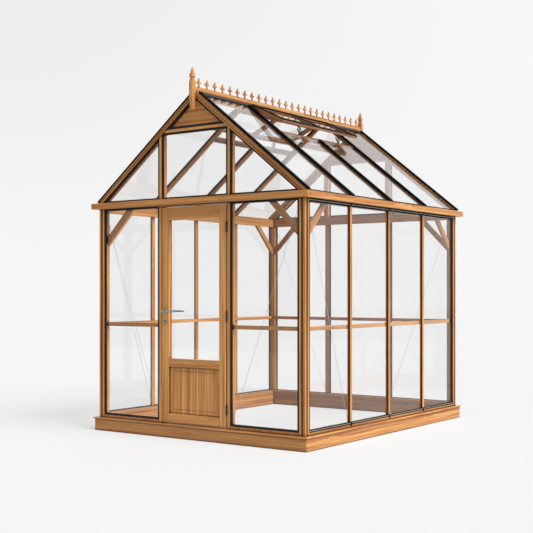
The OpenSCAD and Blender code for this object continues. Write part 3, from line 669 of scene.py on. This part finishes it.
def arm(start, end, bow):
    """A flat strip from one point to another in an upright plane across the ridge, bowed to one side by bow."""
    start, end = Vector(start), Vector(end)
    run = end - start
    across = Y.cross(run).normalized()
    radius = (run.length ** 2 / 4 + bow ** 2) / (2 * bow)
    centre = (start + end) / 2 - across * (radius - bow)
    bpy.ops.mesh.primitive_plane_add(size=1)
    piece = bpy.context.object
    piece.scale = (3 * MM, 7 * MM, 1)  # the strip's thickness and width
    piece.rotation_euler = Y.cross(start - centre).normalized().to_track_quat("Z", "Y").to_euler()
    piece.location = start
    fixed(piece, "arm")
    edit(piece)
    angle = 2 * math.asin(run.length / 2 / radius)
    bpy.ops.mesh.spin(steps=8, angle=angle, center=centre, axis=(0, 1, 0))
    bpy.ops.mesh.select_all(action="SELECT")
    bpy.ops.mesh.normals_make_consistent(inside=False)
    leave()
    return piece


def vent_openers():
    """Each opener: two bowed spring arms on a bracket, with a piston tube between them, from the cill to the sash."""
    low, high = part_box("vent_openers")
    foot_x, foot_z = high.x - 8 * MM, low.z + 8 * MM
    head_x, head_z = high.x - 34 * MM, high.z - 3 * MM
    parts = []
    for y in (low.y + 8 * MM, high.y - 8 * MM):
        for side in SIDES:
            beside = y + side * 11 * MM
            parts.append(arm((foot_x, beside, foot_z), (head_x, beside, head_z), 14 * MM))
        # The piston stops short of the sash
        parts.append(rod((foot_x - 4 * MM, y, foot_z + 6 * MM), (head_x - 6 * MM, y, head_z - 26 * MM), 6 * MM))
        for x, z in ((foot_x, foot_z), (head_x, head_z)):
            parts.append(rod((x, y - 15 * MM, z), (x, y + 15 * MM, z), 4 * MM))
    piece = joined(parts, "vent_openers_arms")
    modify(piece, "MIRROR")
    settle(smoothed(piece), "greenhouse", "black_iron", IRON, "vent_openers")


wall_seals()
wall_strips()
roof_feet()
sash_caps()
hinges()
lock_parts()
vent_openers()
# CAD metal and rubber that only needs its arrises rounded
ROUNDED = [
    ("gable_seals", "_lipped", 3 * MM, "seal", RUBBER),
    ("roof_bar_caps", "_rolled", 2.5 * MM, "black_metal", COATED),
    ("ridge_flashing", "_rolled", 2.5 * MM, "black_metal", FLASHING),
]
for node, ending, width, slot, finish in ROUNDED:
    settle(eased(copied(node, ending), width, 3), "greenhouse", slot, finish, node)
settle(smoothed(eased(copied("door_roses", "_turned"), 2 * MM, 3)), "door", "handle_steel", STEEL, "door_roses")
settle(smoothed(copied("door_levers", "_shaped")), "lever", "handle_steel", STEEL, "door_levers")


# ---- floor, light and camera ----


def floor():
    """A plain pale floor that ends behind the camera, runs far back, and keeps a soft shadow."""
    bpy.ops.mesh.primitive_plane_add(size=1, location=(0, 19, 0))
    ground = bpy.context.object
    ground.scale = (90, 62, 1)
    fixed(ground, "floor")
    made, tree = material("Studio floor, pale paint")
    place = add(tree, "ShaderNodeTexCoord")
    patches = add(tree, "ShaderNodeTexNoise", {"Scale": 0.8, "Detail": 2}, {"Vector": (place, "Object")})
    tint = add(tree, "ShaderNodeMix", {6: colour("#D2D2D2"), 7: colour("#D0D0D0")}, {0: (patches, "Fac")},
               data_type="RGBA")
    paint = add(tree, "ShaderNodeBsdfDiffuse", links={"Color": (tint, 2)})
    # The camera sees part of the floor as lit evenly, so its shadows are faint
    even = add(tree, "ShaderNodeEmission", {"Color": colour(BACKDROP)})
    path = add(tree, "ShaderNodeLightPath")
    share = add(tree, "ShaderNodeMath", {1: 0.42}, {0: (path, "Is Camera Ray")}, operation="MULTIPLY")
    shown = add(tree, "ShaderNodeMixShader", links={0: (share, 0), 1: (paint, 0), 2: (even, 0)})
    add(tree, "ShaderNodeOutputMaterial", links={"Surface": (shown, 0)})
    ground.data.materials.append(made)


def light():
    """A large soft lamp from the right in an even pale room, which is dimmer behind the camera."""
    lamp = bpy.data.lights.new("key", "SUN")
    lamp.energy = 4.3
    lamp.angle = math.radians(35)
    key = bpy.data.objects.new("key", lamp)
    key.rotation_euler = Vector((0.72, -0.12, 0.80)).to_track_quat("Z", "Y").to_euler()
    bpy.context.scene.collection.objects.link(key)
    world = bpy.data.worlds.new("Pale room")
    bpy.context.scene.world = world
    world.use_nodes = True
    tree = world.node_tree
    tree.nodes.clear()
    path = add(tree, "ShaderNodeLightPath")
    fill = add(tree, "ShaderNodeBackground", {"Color": (1, 1, 1, 1), "Strength": 0.43})
    # Reflections: bright towards the backdrop, under half as bright behind the camera
    place = add(tree, "ShaderNodeTexCoord")
    axes = add(tree, "ShaderNodeSeparateXYZ", links={"Vector": (place, "Generated")})
    depth = add(tree, "ShaderNodeMapRange", {"From Min": -0.5, "From Max": 0.3, "To Min": 0.42, "To Max": 1.0},
                {"Value": (axes, "Y")})
    mirrored = add(tree, "ShaderNodeBackground", {"Color": (1, 1, 1, 1)}, {"Strength": (depth, 0)})
    # The backdrop falls off a little towards its top left
    height = add(tree, "ShaderNodeMapRange", {"From Min": 0.0, "From Max": 0.28}, {"Value": (axes, "Z")})
    left = add(tree, "ShaderNodeMapRange", {"From Min": -0.36, "From Max": -0.72}, {"Value": (axes, "X")})
    fall = add(tree, "ShaderNodeMath", links={0: (height, 0), 1: (left, 0)}, operation="MULTIPLY")
    shade = add(tree, "ShaderNodeMix", {6: colour(BACKDROP), 7: colour("#ECECEC")}, {0: (fall, 0)}, data_type="RGBA")
    backdrop = add(tree, "ShaderNodeBackground", links={"Color": (shade, 2)})
    glossy = add(tree, "ShaderNodeMixShader", links={0: (path, "Is Glossy Ray"), 1: (fill, 0), 2: (mirrored, 0)})
    room = add(tree, "ShaderNodeMixShader", links={0: (path, "Is Camera Ray"), 1: (glossy, 0), 2: (backdrop, 0)})
    add(tree, "ShaderNodeOutputWorld", links={"Surface": (room, 0)})


def camera():
    """Level, at chest height, off the front right corner."""
    lens = bpy.data.cameras.new("camera")
    lens.lens = 70.55
    lens.sensor_width = 36
    lens.shift_y = 0.0435
    view = bpy.data.objects.new("camera", lens)
    view.location = (5.7658, -8.4038, 1.3026)
    view.rotation_euler = (math.radians(90), 0, math.radians(35.515))
    bpy.context.scene.collection.objects.link(view)
    bpy.context.scene.camera = view


floor()
light()
camera()
bpy.context.scene.view_settings.view_transform = "Standard"
